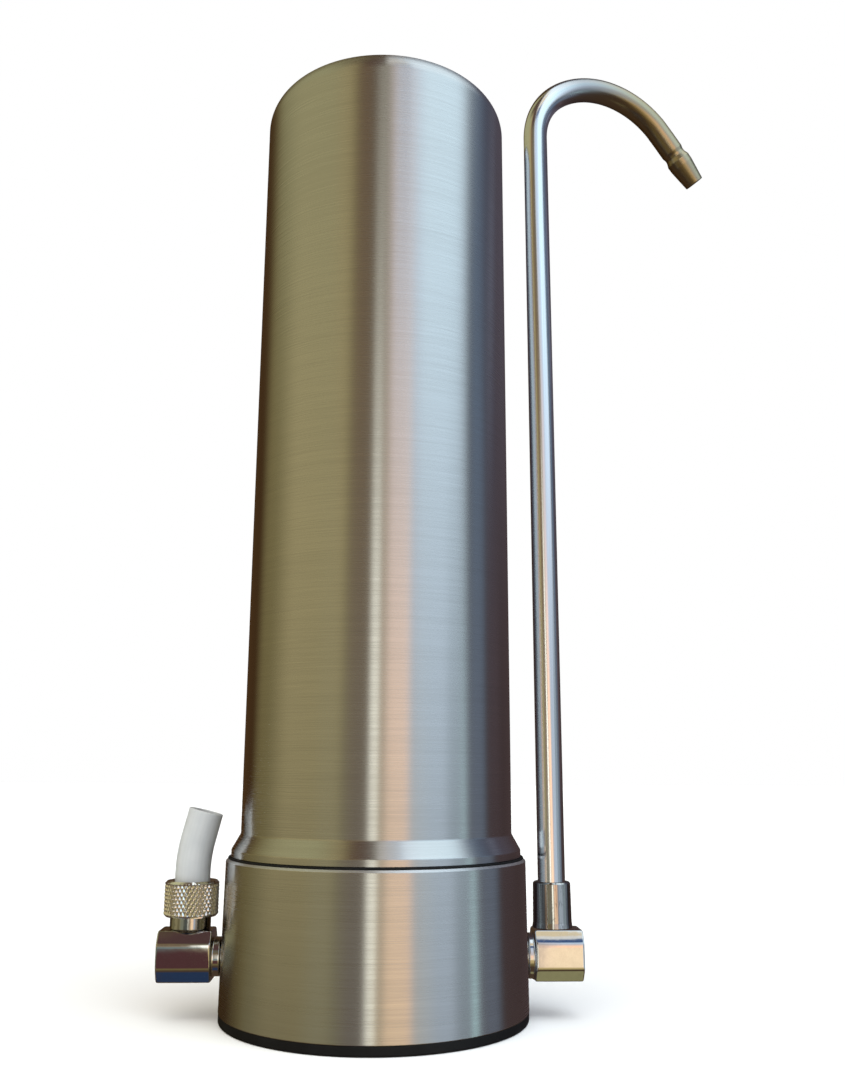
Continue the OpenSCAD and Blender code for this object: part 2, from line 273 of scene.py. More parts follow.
def from_field(name, f, lo, hi, h):
    """Closed quad mesh of the surface f = 0, with its points and normals taken from f itself."""
    lo, hi = np.array(lo, float), np.array(hi, float)
    n = np.ceil((hi - lo) / h).astype(int) + 1
    ax = [lo[i] + h * np.arange(n[i]) for i in range(3)]
    grid = np.stack(np.meshgrid(*ax, indexing="ij"), -1)
    v = f(grid.reshape(-1, 3)).reshape(n)
    inside = v < 0
    cells = tuple(n - 1)
    total, count = np.zeros(cells + (3,)), np.zeros(cells)
    corner = [(i, j, k) for i in (0, 1) for j in (0, 1) for k in (0, 1)]

    def at(c, arr):
        return arr[c[0]:c[0] + cells[0], c[1]:c[1] + cells[1], c[2]:c[2] + cells[2]]

    for a in corner:
        for axis in range(3):
            if a[axis]:
                continue
            b = list(a)
            b[axis] = 1
            va, vb = at(a, v), at(b, v)
            cut = at(a, inside) != at(b, inside)
            t = np.where(cut, va / np.where(cut, va - vb, 1.0), 0.0)
            p = at(a, grid) + 0.0
            p[..., axis] += t * h
            total += p * cut[..., None]
            count += cut
    live = count > 0
    index = np.full(cells, -1)
    index[live] = np.arange(live.sum())
    pts = total[live] / count[live][:, None]
    faces = []
    for axis in range(3):
        o1, o2 = (axis + 1) % 3, (axis + 2) % 3
        sl0, sl1 = [slice(None)] * 3, [slice(None)] * 3
        sl0[axis], sl1[axis] = slice(0, n[axis] - 1), slice(1, n[axis])
        a, b = inside[tuple(sl0)], inside[tuple(sl1)]
        for sign in (True, False):
            where = np.argwhere((a == sign) & (b != sign))
            ok = (where[:, o1] > 0) & (where[:, o2] > 0)
            ok &= (where[:, o1] < n[o1] - 1) & (where[:, o2] < n[o2] - 1)
            where = where[ok]
            quad = []
            for d1, d2 in ((-1, -1), (0, -1), (0, 0), (-1, 0)):
                w = where.copy()
                w[:, o1] += d1
                w[:, o2] += d2
                quad.append(index[w[:, 0], w[:, 1], w[:, 2]])
            quad = np.stack(quad, 1)
            faces.append(quad if sign else quad[:, ::-1])
    faces = np.concatenate(faces)

    def grad(p, e=0.02):
        g = np.empty_like(p)
        for i in range(3):
            d = np.zeros(3)
            d[i] = e
            g[:, i] = (f(p + d) - f(p - d)) / (2 * e)
        return g

    for _ in range(5):
        g = grad(pts)
        step = (f(pts) / np.maximum((g * g).sum(1), 1e-6))[:, None] * g
        pts = pts - np.clip(step, -0.5 * h, 0.5 * h)
    g = grad(pts)
    g /= np.maximum(np.linalg.norm(g, axis=1), 1e-9)[:, None]
    return mesh_object(name, pts, faces.tolist(), g)


# ---------------------------------------------------------------- materials
class Nodes:
    """Short ways to add shader nodes."""

    def __init__(self, tree):
        self.t = tree

    def add(self, kind, **props):
        n = self.t.nodes.new(kind)
        for k, v in props.items():
            setattr(n, k, v)
        return n

    def put(self, socket, value):
        if isinstance(value, bpy.types.NodeSocket):
            self.t.links.new(value, socket)
        else:
            socket.default_value = value

    def math(self, op, a, b=0.0, clamp=False):
        n = self.add("ShaderNodeMath", operation=op, use_clamp=clamp)
        self.put(n.inputs[0], a)
        self.put(n.inputs[1], b)
        return n.outputs[0]

    def ramp(self, value, lo, hi, a=0.0, b=1.0, smooth=False):
        n = self.add("ShaderNodeMapRange")
        n.interpolation_type = "SMOOTHSTEP" if smooth else "LINEAR"
        n.clamp = True
        self.put(n.inputs["Value"], value)
        for key, v in (("From Min", lo), ("From Max", hi), ("To Min", a), ("To Max", b)):
            n.inputs[key].default_value = v
        return n.outputs["Result"]

    def mix(self, fac, a, b, blend="MIX"):
        n = self.add("ShaderNodeMix", data_type="RGBA", blend_type=blend)
        self.put(n.inputs[0], fac)
        self.put(n.inputs[6], a if isinstance(a, bpy.types.NodeSocket) else (*a, 1.0))
        self.put(n.inputs[7], b if isinstance(b, bpy.types.NodeSocket) else (*b, 1.0))
        return n.outputs[2]

    def coords(self, scale, kind="Object", shift=(0, 0, 0), turn=(0, 0, 0)):
        tc = self.add("ShaderNodeTexCoord")
        m = self.add("ShaderNodeMapping")
        self.put(m.inputs["Vector"], tc.outputs[kind])
        m.inputs["Scale"].default_value = scale
        m.inputs["Location"].default_value = shift
        m.inputs["Rotation"].default_value = turn
        return m.outputs[0]

    def around(self):
        """Object coordinates with the distance from the axis taken off the height, so that lines stay round the axis on a flat top."""
        tc = self.add("ShaderNodeTexCoord")
        sep = self.add("ShaderNodeSeparateXYZ")
        self.put(sep.inputs[0], tc.outputs["Object"])
        x, y, z = sep.outputs
        r = self.math("SQRT", self.math("ADD", self.math("MULTIPLY", x, x), self.math("MULTIPLY", y, y)))
        out = self.add("ShaderNodeCombineXYZ")
        self.put(out.inputs[0], x)
        self.put(out.inputs[1], y)
        self.put(out.inputs[2], self.math("SUBTRACT", z, r))
        return out.outputs[0]

    def scaled(self, vector, scale, shift=(0, 0, 0)):
        m = self.add("ShaderNodeMapping")
        self.put(m.inputs["Vector"], vector)
        m.inputs["Scale"].default_value = scale
        m.inputs["Location"].default_value = shift
        return m.outputs[0]

    def noise(self, vector, scale=1.0, detail=2.0, rough=0.5, distort=0.0):
        n = self.add("ShaderNodeTexNoise")
        self.put(n.inputs["Vector"], vector)
        n.inputs["Scale"].default_value = scale
        n.inputs["Detail"].default_value = detail
        n.inputs["Roughness"].default_value = rough
        n.inputs["Distortion"].default_value = distort
        return n.outputs["Fac"]

    def bump(self, height, strength, distance, normal=None):
        n = self.add("ShaderNodeBump")
        n.inputs["Strength"].default_value = strength
        n.inputs["Distance"].default_value = distance
        self.put(n.inputs["Height"], height)
        if normal is not None:
            self.put(n.inputs["Normal"], normal)
        return n.outputs[0]


def material(name, **sockets):
    m = bpy.data.materials.new(name)
    m.use_nodes = True
    m.node_tree.nodes.clear()
    k = Nodes(m.node_tree)
    out = k.add("ShaderNodeOutputMaterial")
    b = k.add("ShaderNodeBsdfPrincipled")
    m.node_tree.links.new(b.outputs[0], out.inputs[0])
    for key, v in sockets.items():
        b.inputs[key.replace("_", " ")].default_value = v
    return m, k, b


def brushed_steel(name, fine=1.0, tone=1.0, rough=0.265, aniso=0.95, painted_highlight_z=None):
    """Stainless steel brushed round the axis: long thin streaks, level, with the highlight drawn upright."""
    m, k, b = material(name, Metallic=1.0, Anisotropic=aniso)
    b.inputs["Anisotropic Rotation"].default_value = 0.25
    tan = k.add("ShaderNodeTangent", direction_type="RADIAL", axis="Z")
    k.put(b.inputs["Tangent"], tan.outputs[0])
    way = k.around()
    fine_n = k.noise(k.scaled(way, (70 * fine, 70 * fine, 7600 * fine)), detail=3, rough=0.6)
    mid_n = k.noise(k.scaled(way, (34 * fine, 34 * fine, 2600 * fine), shift=(3, 1, 7)), detail=2, rough=0.55)
    long_n = k.noise(k.scaled(way, (12, 12, 760), shift=(1, 5, 2)), detail=2, rough=0.5)
    soft_n = k.noise(k.coords((14, 14, 9), shift=(8, 2, 4)), detail=3, rough=0.5)
    grain = k.math("ADD", k.math("MULTIPLY", fine_n, 0.4), k.math("MULTIPLY", mid_n, 0.4))
    grain = k.math("ADD", grain, k.math("MULTIPLY", long_n, 0.2))
    t = k.ramp(grain, 0.32, 0.68)
    c = k.mix(t, tuple(tone * v for v in (0.560, 0.555, 0.545)), tuple(tone * v for v in (0.640, 0.636, 0.628)))
    c = k.mix(k.ramp(soft_n, 0.35, 0.75, 0.0, 0.10), c, tuple(tone * v for v in (0.56, 0.545, 0.52)))
    r = k.math("ADD", k.ramp(grain, 0.3, 0.7, rough + 0.03, rough - 0.03), k.ramp(soft_n, 0.3, 0.7, -0.015, 0.02))
    if painted_highlight_z is not None:
        # above this height the colour is lighter, rougher and less metallic: a painted highlight along the ring's top
        # edge
        sep = k.add("ShaderNodeSeparateXYZ")
        k.put(sep.inputs[0], k.coords((1, 1, 1)))
        edge = k.ramp(sep.outputs[2], painted_highlight_z - 0.00006, painted_highlight_z + 0.00006)
        c = k.mix(edge, c, (0.70, 0.71, 0.72))
        r = k.math("ADD", r, k.math("MULTIPLY", edge, 0.14))
        k.put(b.inputs["Metallic"], k.math("SUBTRACT", 1.0, k.math("MULTIPLY", edge, 0.10)))
    k.put(b.inputs["Base Color"], c)
    k.put(b.inputs["Roughness"], r)
    k.put(b.inputs["Normal"], k.bump(grain, 0.03, 0.00002))
    return m


def chrome(name, tint=(0.64, 0.645, 0.65), rough=0.05, wave=0.10, metallic=1.0):
    """Bright plating over a polished casting: nearly a mirror, with faint waves and haze."""
    m, k, b = material(name, Metallic=metallic)
    wave_n = k.noise(k.coords((160, 160, 160)), detail=2, rough=0.45)
    haze_n = k.noise(k.coords((420, 420, 420), shift=(4, 4, 1)), detail=4, rough=0.6)
    pit_n = k.noise(k.coords((2600, 2600, 2600), shift=(2, 7, 3)), detail=2, rough=0.5)
    k.put(b.inputs["Base Color"], k.mix(k.ramp(haze_n, 0.35, 0.7), tint, tuple(0.93 * c for c in tint)))
    r = k.math("ADD", k.ramp(haze_n, 0.35, 0.75, rough, rough + 0.05), k.ramp(pit_n, 0.66, 0.76, 0.0, 0.12))
    k.put(b.inputs["Roughness"], r)
    n1 = k.bump(wave_n, wave, 0.0004)
    k.put(b.inputs["Normal"], k.bump(pit_n, 0.03, 0.00002, n1))
    return m


def drawn_chrome(name, dark=(0.13, 0.125, 0.12), pale=(0.52, 0.51, 0.49), rough=0.09):
    """Plating over drawn bar: long streaks along the axis, some of them dull."""
    m, k, b = material(name, Metallic=1.0)
    streak = k.noise(k.coords((560, 560, 9)), detail=4, rough=0.6)
    pit_n = k.noise(k.coords((1500, 1500, 420), shift=(2, 7, 3)), detail=3, rough=0.6)
    haze_n = k.noise(k.coords((300, 300, 300), shift=(4, 4, 1)), detail=3, rough=0.5)
    c = k.mix(k.ramp(streak, 0.40, 0.60, smooth=True), dark, pale)
    c = k.mix(k.ramp(pit_n, 0.58, 0.70, 0.0, 0.5), c, tuple(0.6 * v for v in dark))
    k.put(b.inputs["Base Color"], c)
    r = k.math("ADD", k.ramp(haze_n, 0.35, 0.75, rough, rough + 0.05), k.ramp(pit_n, 0.60, 0.72, 0.0, 0.14))
    k.put(b.inputs["Roughness"], r)
    n1 = k.bump(streak, 0.12, 0.0002)
    k.put(b.inputs["Normal"], k.bump(pit_n, 0.05, 0.00004, n1))
    return m


def polished_tube(name):
    """Polished stainless tube with faint drawing lines along its length."""
    m, k, b = material(name, Metallic=1.0, Anisotropic=0.35)
    lines = k.noise(k.coords((2400, 14, 1), kind="UV"), detail=3, rough=0.55)
    patch = k.noise(k.coords((60, 60, 60)), detail=3, rough=0.5)
    c = k.mix(k.ramp(lines, 0.3, 0.7), (0.66, 0.66, 0.665), (0.78, 0.78, 0.785))
    sep = k.add("ShaderNodeSeparateXYZ")
    k.put(sep.inputs[0], k.coords((1, 1, 1), kind="UV"))
    # from the top of the bend onward the tube is darker and rougher, with a warm specular tint: a painted dull
    # reflection
    crest = k.ramp(sep.outputs[1], 0.326, 0.350, 0.0, 1.0, smooth=True)
    # from the descending part onward the base colour is bronze: a painted bronze reflection
    warm = k.ramp(sep.outputs[1], 0.346, 0.380, 0.0, 1.0, smooth=True)
    c = k.mix(crest, c, k.mix(k.ramp(lines, 0.3, 0.7), (0.40, 0.40, 0.41), (0.47, 0.47, 0.48)))
    c = k.mix(warm, c, k.mix(k.ramp(lines, 0.3, 0.7), (0.41, 0.35, 0.235), (0.48, 0.41, 0.28)))
    k.put(b.inputs["Base Color"], c)
    k.put(b.inputs["Specular Tint"], k.mix(crest, (1.0, 1.0, 1.0), (0.55, 0.50, 0.42)))
    r = k.math("ADD", k.ramp(lines, 0.3, 0.7, 0.13, 0.19), k.ramp(patch, 0.3, 0.7, -0.02, 0.03))
    r = k.math("ADD", r, k.math("MULTIPLY", crest, 0.16))
    k.put(b.inputs["Roughness"], r)
    geo = k.add("ShaderNodeNewGeometry")
    turn = k.add("ShaderNodeVectorRotate", rotation_type="Z_AXIS")
    k.put(turn.inputs["Vector"], geo.outputs["Normal"])
    rise = k.ramp(sep.outputs[1], 0.17, 0.28, math.radians(6), math.radians(13), smooth=True)
    fall = k.ramp(sep.outputs[1], 0.298, 0.345, 0.0, math.radians(12), smooth=True)
    k.put(turn.inputs["Angle"], k.math("SUBTRACT", rise, fall))
    k.put(b.inputs["Normal"], k.bump(lines, 0.05, 0.00002, turn.outputs[0]))
    return m


def rubber(name, colour=(0.016, 0.016, 0.017), rough=0.48, grain=1500, specular=0.42):
    """Moulded black rubber: fine matt skin with dusty wear."""
    m, k, b = material(name)
    b.inputs["Specular IOR Level"].default_value = specular
    skin = k.noise(k.coords((grain, grain, grain)), detail=3, rough=0.6)
    dust = k.noise(k.coords((70, 70, 70), shift=(3, 9, 2)), detail=4, rough=0.65)
    c = k.mix(k.ramp(dust, 0.45, 0.8, 0.0, 0.5), colour, tuple(c * 2.0 + 0.002 for c in colour))
    k.put(b.inputs["Base Color"], c)
    k.put(b.inputs["Roughness"], k.math("ADD", k.ramp(skin, 0.3, 0.7, rough - 0.06, rough + 0.08), k.ramp(dust, 0.4, 0.8, 0.0, 0.1)))
    k.put(b.inputs["Normal"], k.bump(skin, 0.12, 0.00008))
    return m


def plastic(name, colour, rough=0.42, grain=900, spread=0.06, bump=0.10):
    """Moulded plastic: slight mottling and a fine spark-eroded texture."""
    m, k, b = material(name)
    b.inputs["Specular IOR Level"].default_value = 0.5
    tex = k.noise(k.coords((grain, grain, grain)), detail=3, rough=0.6)
    mott = k.noise(k.coords((45, 45, 45), shift=(5, 1, 3)), detail=3, rough=0.5)
    lo = tuple(max(c * (1 - spread), 0.0) for c in colour)
    hi = tuple(min(c * (1 + spread), 1.0) for c in colour)
    k.put(b.inputs["Base Color"], k.mix(k.ramp(mott, 0.3, 0.7), lo, hi))
    k.put(b.inputs["Roughness"], k.ramp(tex, 0.3, 0.7, rough - 0.06, rough + 0.06))
    k.put(b.inputs["Normal"], k.bump(tex, bump, 0.00008))
    return m


def metal(name, colour, rough=0.3, lathe_lines=0.0, spread=0.08):
    """Turned or rolled metal, with level tool marks when lathe_lines is set."""
    m, k, b = material(name, Metallic=1.0)
    if lathe_lines:
        tex = k.noise(k.coords((60, 60, lathe_lines)), detail=3, rough=0.55)
    else:
        tex = k.noise(k.coords((500, 500, 500)), detail=4, rough=0.6)
    patch = k.noise(k.coords((90, 90, 90), shift=(2, 2, 6)), detail=3, rough=0.5)
    lo = tuple(c * (1 - spread) for c in colour)
    hi = tuple(min(c * (1 + spread), 1.0) for c in colour)
    k.put(b.inputs["Base Color"], k.mix(k.ramp(tex, 0.3, 0.7), lo, hi))
    k.put(b.inputs["Roughness"], k.math("ADD", k.ramp(tex, 0.3, 0.7, rough - 0.05, rough + 0.06), k.ramp(patch, 0.3, 0.7, -0.03, 0.05)))
    k.put(b.inputs["Normal"], k.bump(tex, 0.10, 0.00005))
    return m


def hose_plastic(name):
    """Milky polyethylene hose: light passes a little way in, with faint extrusion lines along it."""
    m, k, b = material(name, Roughness=0.33)
    b.inputs["Specular IOR Level"].default_value = 0.45
    b.inputs["Subsurface Weight"].default_value = 0.35
    b.inputs["Subsurface Scale"].default_value = 0.004
    b.inputs["Subsurface Radius"].default_value = (1.0, 1.0, 1.0)
    lines = k.noise(k.coords((900, 8, 1), kind="UV"), detail=3, rough=0.5)
    cloud = k.noise(k.coords((160, 160, 160)), detail=3, rough=0.5)
    c = k.mix(k.ramp(cloud, 0.3, 0.7), lin(180, 184, 187), lin(190, 193, 195))
    c = k.mix(k.ramp(lines, 0.35, 0.7, 0.0, 0.35), c, lin(173, 178, 182))
    k.put(b.inputs["Base Color"], c)
    k.put(b.inputs["Roughness"], k.ramp(lines, 0.3, 0.7, 0.28, 0.38))
    k.put(b.inputs["Normal"], k.bump(lines, 0.08, 0.00005))
    return m


def carbon(name):
    """Pressed carbon: black, grainy, with a few bright grains."""
    m, k, b = material(name)
    grain = k.noise(k.coords((2200, 2200, 2200)), detail=4, rough=0.7)
    big = k.noise(k.coords((300, 300, 300)), detail=3, rough=0.6)
    k.put(b.inputs["Base Color"], k.mix(k.ramp(grain, 0.3, 0.75), (0.006, 0.006, 0.007), (0.035, 0.035, 0.036)))
    k.put(b.inputs["Roughness"], k.ramp(big, 0.3, 0.7, 0.6, 0.85))
    k.put(b.inputs["Normal"], k.bump(grain, 0.5, 0.0003))
    return m


def fleece(name):
    """White spun fleece wrap: crossed fine fibres and a soft quilted press pattern."""
    m, k, b = material(name)
    b.inputs["Sheen Weight"].default_value = 0.25
    b.inputs["Specular IOR Level"].default_value = 0.2
    a = k.noise(k.coords((1800, 1800, 260), turn=(0.3, 0.1, 0.0)), detail=4, rough=0.7, distort=0.6)
    c = k.noise(k.coords((260, 260, 1800), turn=(0.0, 0.25, 0.4)), detail=4, rough=0.7, distort=0.6)
    fib = k.math("MULTIPLY", k.math("ADD", a, c), 0.5)
    cloud = k.noise(k.coords((110, 110, 110)), detail=3, rough=0.6)
    col = k.mix(k.ramp(fib, 0.35, 0.65), (0.40, 0.40, 0.39), (0.60, 0.60, 0.59))
    col = k.mix(k.ramp(cloud, 0.45, 0.75, 0.0, 0.3), col, (0.38, 0.38, 0.37))
    k.put(b.inputs["Base Color"], col)
    b.inputs["Roughness"].default_value = 0.85
    k.put(b.inputs["Normal"], k.bump(fib, 0.5, 0.0003))
    return m


M = {
    "shell": brushed_steel("brushed_shell_steel"),
    # the ring's band above 51.5 mm carries a painted highlight
    "ring": brushed_steel("brushed_ring_steel", fine=0.9, tone=0.98, rough=0.26, painted_highlight_z=0.0515),
    "chrome": chrome("bright_chrome"),
    "nut": chrome("knurled_chrome", tint=(0.90, 0.89, 0.86), rough=0.09, wave=0.04, metallic=0.97),
    "drawn": drawn_chrome("drawn_chrome"),
    "neck": drawn_chrome("neck_chrome", dark=(0.24, 0.235, 0.22), pale=(0.56, 0.55, 0.52)),
    "tube": polished_tube("polished_tube_steel"),
    "rubber": rubber("black_rubber_skin", colour=(0.005, 0.005, 0.0055), rough=0.56, specular=0.2),
    "seal": rubber("seal_rubber", colour=(0.012, 0.012, 0.013), rough=0.38),
    "hose": hose_plastic("milky_hose"),
    "head": plastic("moulded_head_grey", (0.045, 0.050, 0.057), rough=0.42),
    "zinc": metal("zinc_plated_steel", (0.52, 0.53, 0.55), rough=0.32),
    "turned": metal("turned_steel", (0.50, 0.50, 0.51), rough=0.26, lathe_lines=2600),
    "brass": metal("turned_brass", (0.66, 0.48, 0.20), rough=0.25, lathe_lines=3000),
    "acetal": plastic("acetal_ivory", (0.78, 0.75, 0.66), rough=0.35),
    "bush": plastic("bush_black_nylon", (0.02, 0.02, 0.021), rough=0.4),
    "carbon": carbon("pressed_carbon"),
    "fleece": fleece("spun_fleece"),
    "cap": plastic("cap_blue_plastic", (0.03, 0.155, 0.43), rough=0.38),
    "core": plastic("core_white_plastic", (0.74, 0.75, 0.76), rough=0.45),
}


def dress(ob, key):
    ob.data.materials.clear()
    ob.data.materials.append(M[key])
    return ob


# ---------------------------------------------------------------- camera
def make_camera():
    pitch, yaw, roll = 0.2206, 0.0413, 0.0046
    fw = Vector((math.sin(yaw) * math.cos(pitch), math.cos(yaw) * math.cos(pitch), math.sin(pitch)))
    right = Vector((math.cos(yaw), -math.sin(yaw), 0.0))
    up = right.cross(fw)
    rx = right * math.cos(roll) + up * math.sin(roll)
    ry = up * math.cos(roll) - right * math.sin(roll)
    data = bpy.data.cameras.new("camera")
    data.sensor_width = 36.0
    data.lens = 34.377
    data.clip_start = 0.01
    data.clip_end = 100.0
    ob = link_object(bpy.data.objects.new("camera", data))
    rows = [(rx[i], ry[i], -fw[i], (0.0, -0.37948, 0.08167)[i]) for i in range(3)]
    ob.matrix_world = Matrix(rows + [(0, 0, 0, 1)])
    scene.camera = ob


make_camera()

# ---------------------------------------------------------------- pieces
# the canister: drawn steel, rounded shoulder, flared lip; hollow, open below
SHELL_R, SHELL_TOP, SHOULDER, WALL = 47.5, 344.6, 10.5, 1.2
shell = turned(
    "canister_shell",
    [
        (0.0, SHELL_TOP - WALL),
        (SHELL_R - WALL, SHELL_TOP - WALL, SHOULDER - WALL, 24),
        (SHELL_R - WALL, 61.0, 1.6, 6),
        (49.3, 55.7, 1.0, 6),
        (49.3, 52.85, 0.2, 4),
        (50.5, 52.85, 0.25, 6),
        (50.5, 55.2, 0.9, 8),
        (SHELL_R, 60.5, 1.4, 8),
        (SHELL_R, SHELL_TOP, SHOULDER, 32),
        (0.0, SHELL_TOP),
    ],
    seg=288,
    closed=False,
    longest=lambda s: 12.0,
)
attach(shell, "canister")
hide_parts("shell")
dress(shell, "shell")

# the base ring: slightly tapered, a painted highlight along the top edge, rolled lower edge
RING = [
    (51.5, 3.0, 0.2, 3),
    (52.698, 3.0, 0.35, 5),
    (52.2, 51.5, 0.3, 4),
    (51.5, 52.2, 0.3, 4),
    (46.0, 52.2, 0.2, 3),
    (46.0, 51.0, 0.2, 3),
    (51.0, 51.0, 0.5, 4),
]
ring = turned("base_ring_shell", RING, seg=288, longest=lambda s: 12.0)
pierce(ring, RING, [(5.5, -60.0, -40.0, 19.4), (6.5, 40.0, 60.0, 19.4)])
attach(ring, "base")
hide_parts("base_ring")
dress(ring, "ring")

# the foot: soft lower edge
foot = turned(
    "rubber_foot",
    [
        (0.0, 0.0),
        (27.0, 0.0, 0.15, 2), (27.3, 0.5, 0.15, 2), (28.9, 0.5, 0.15, 2), (29.2, 0.0, 0.15, 2),
        (36.0, 0.0, 0.15, 2), (36.3, 0.5, 0.15, 2), (37.9, 0.5, 0.15, 2), (38.2, 0.0, 0.15, 2),
        (45.0, 0.0, 0.15, 2), (45.3, 0.5, 0.15, 2), (46.9, 0.5, 0.15, 2), (47.2, 0.0, 0.15, 2),
        (52.6, 0.0, 0.6, 6),
        (52.6, 3.0, 0.25, 4),
        (50.6, 3.0, 0.2, 3),
        (50.6, 4.0, 0.2, 3),
        (0.0, 4.0),
    ],
    seg=288,
    closed=False,
)
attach(foot, "base")
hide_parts("foot_pad")
dress(foot, "rubber")

# the black gasket in the seam
gasket = turned(
    "seam_gasket_ring",
    [(46.4, 52.22, 0.15, 3), (51.45, 52.22, 0.2, 4), (51.45, 52.8, 0.2, 4), (46.4, 52.8, 0.15, 3)],
    seg=256,
)
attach(gasket, "gasket")
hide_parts("seam_gasket")
dress(gasket, "rubber")

# the two chrome blocks, cast and polished, each with its round boss and spigot
PORT_Z, Z0, Z1, HD = 19.4, 11.5, 28.6, 8.3


def chrome_block(name, x0, x1, axis_x, boss_r, spig_r, way_r, side, draft):
    """draft is how far the front and back lean in towards the lower edge."""
    h, l, xc = Z1 - Z0, x1 - x0, (x0 + x1) / 2
    low = HD - draft
    yz = [(-4.7, 0), (4.7, 0), (low, 4.6), (HD, h - 4.6), (HD - 1.25, h - 2.3), (HD - 3.1, h),
          (-HD + 3.1, h), (-HD + 1.25, h - 2.3), (-HD, h - 4.6), (-low, 4.6)]
    xz = [(0.45, 0), (l - 0.45, 0), (l, 0.55), (l, h - 0.7), (l - 0.5, h), (0.5, h), (0, h - 0.7), (0, 0.55)]
    near = x1 if side < 0 else x0           # block face towards the canister
    tip = 38.2 * side

    def f(p):
        x, y, z = p[:, 0], p[:, 1], p[:, 2] - Z0
        ux, uz = (x - xc) / (l / 2), (z - 8.5) / 8.5
        puff = 1 + 0.016 * ux * ux + 0.008 * uz * uz
        a = convex(y * puff, z, yz, 0.5)
        b = convex((x - xc) * (1 + 0.008 * (y / HD) ** 2) + l / 2, z, xz, 0.4)
        q = np.maximum(np.stack((np.abs(x - xc) - (l / 2 - 0.9), np.abs(y * puff) - (HD - 0.9)), 1), 0)
        inner = np.maximum(np.abs(x - xc) - (l / 2 - 0.9), np.abs(y * puff) - (HD - 0.9))
        c = np.hypot(q[:, 0], q[:, 1]) + np.minimum(inner, 0) - 0.9
        body = smax(smax(a, b, 0.45), c, 0.45)
        rad = np.hypot(y, p[:, 2] - PORT_Z)
        along = x * side
        boss = smax(smax(rad - boss_r, along - (near * side + 1.5), 0.3), 52.9 - np.hypot(x, y), 0.5)
        spig = smax(smax(rad - spig_r, along - (near * side + 1.5), 0.3), tip * side - along, 0.4)
        out = smin(smin(body, boss, 0.7), spig, 0.3)
        way = smax(rad - way_r, along - axis_x * side, 0.3)
        up = smax(np.hypot(x - axis_x, y) - 5.05, PORT_Z - p[:, 2], 0.3)
        return smax(out, -np.minimum(way, up), 0.25)

    lo_x, hi_x = (x0, tip) if side < 0 else (tip, x1)
    return from_field(name, f, (lo_x - 0.9, -HD - 0.9, Z0 - 0.9), (hi_x + 0.9, HD + 0.9, Z1 + 0.9), 0.23)


inlet = chrome_block("inlet_elbow_block", -74.0, -55.4, -63.9, 6.4, 5.2, 3.0, -1, 0.95)
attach(inlet, "base")
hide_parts("inlet_elbow")
dress(inlet, "chrome")
outlet = chrome_block("outlet_elbow_block", 54.6, 71.6, 61.8, 7.5, 6.2, 3.6, 1, 0.0)
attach(outlet, "base")
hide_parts("outlet_elbow")
dress(outlet, "chrome")
outlet.visible_glossy = False

# the inlet stem, its upper end bored for the hose
IN_X, OUT_X = -63.9, 61.8
stem = turned(
    "inlet_neck",
    [
        (3.4, 22.6, 0.15, 2), (5.0, 22.6, 0.3, 3), (5.0, 28.6, 0.1, 2), (6.95, 28.6, 0.35, 5),
        (6.95, 41.0, 0.2, 4), (6.05, 41.0, 0.2, 3), (6.05, 36.0, 0.1, 2), (3.4, 36.0, 0.2, 3),
    ],
    seg=128,
    at=axis_frame(IN_X, 0),
)
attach(stem, "base")
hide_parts("inlet_stem")
dress(stem, "neck")


# the knurled nut: crossed slanting grooves leave rows of small pyramids
def knurled(name, cx, z0, z1, radius, bore_low, bore_top, bore_step, teeth, pitch, depth):
    per = 12
    seg = teeth * per
    dz = pitch / per
    rows = []                                   # (radius, height, knurl share)
    rows.append((bore_low, z0, 0.0))
    rows.append((radius - 0.8, z0, 0.0))
    for t in (0.33, 0.66):
        rows.append((radius - 0.8 + 0.8 * t, z0 + 0.8 * t, 0.0))
    n = int(round((z1 - z0 - 1.6) / dz))
    for i in range(n + 1):
        z = z0 + 0.8 + (z1 - z0 - 1.6) * i / n
        edge = min(z - z0 - 0.8, z1 - 0.8 - z)
        rows.append((radius, z, min(1.0, 0.35 + edge / 0.6)))
    for t in (0.66, 0.33):
        rows.append((radius - 0.8 + 0.8 * t, z1 - 0.8 * t, 0.0))
    rows.append((radius - 0.8, z1, 0.0))
    rows.append((bore_top, z1, 0.0))
    rows.append((bore_top, bore_step, 0.0))
    rows.append((bore_low, bore_step, 0.0))
    ang = np.arange(seg) * 2 * math.pi / seg
    verts, faces = [], []
    for r, z, share in rows:
        u = teeth * ang / (2 * math.pi)
        ga = np.abs(2 * np.mod(u + z / pitch, 1.0) - 1)
        gb = np.abs(2 * np.mod(u - z / pitch, 1.0) - 1)
        cut = np.clip((np.maximum(ga, gb) - 0.12) / 0.88, 0, 1)
        rr = r - depth * share * cut
        verts.extend(np.stack((cx + rr * np.cos(ang), rr * np.sin(ang), np.full(seg, z)), 1))
    m = len(rows)
    for i in range(m):
        a, b = i * seg, ((i + 1) % m) * seg
        for k in range(seg):
            k2 = (k + 1) % seg
            faces.append((a + k, a + k2, b + k2, b + k))
    return mesh_object(name, verts, faces, sharp=38)


nut = knurled("hose_nut_knurled", IN_X, 32.6, 44.4, 9.3, 7.25, 6.3, 42.6, 40, 2.5, 0.45)
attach(nut, "nut")
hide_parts("knurled_nut")
dress(nut, "nut")


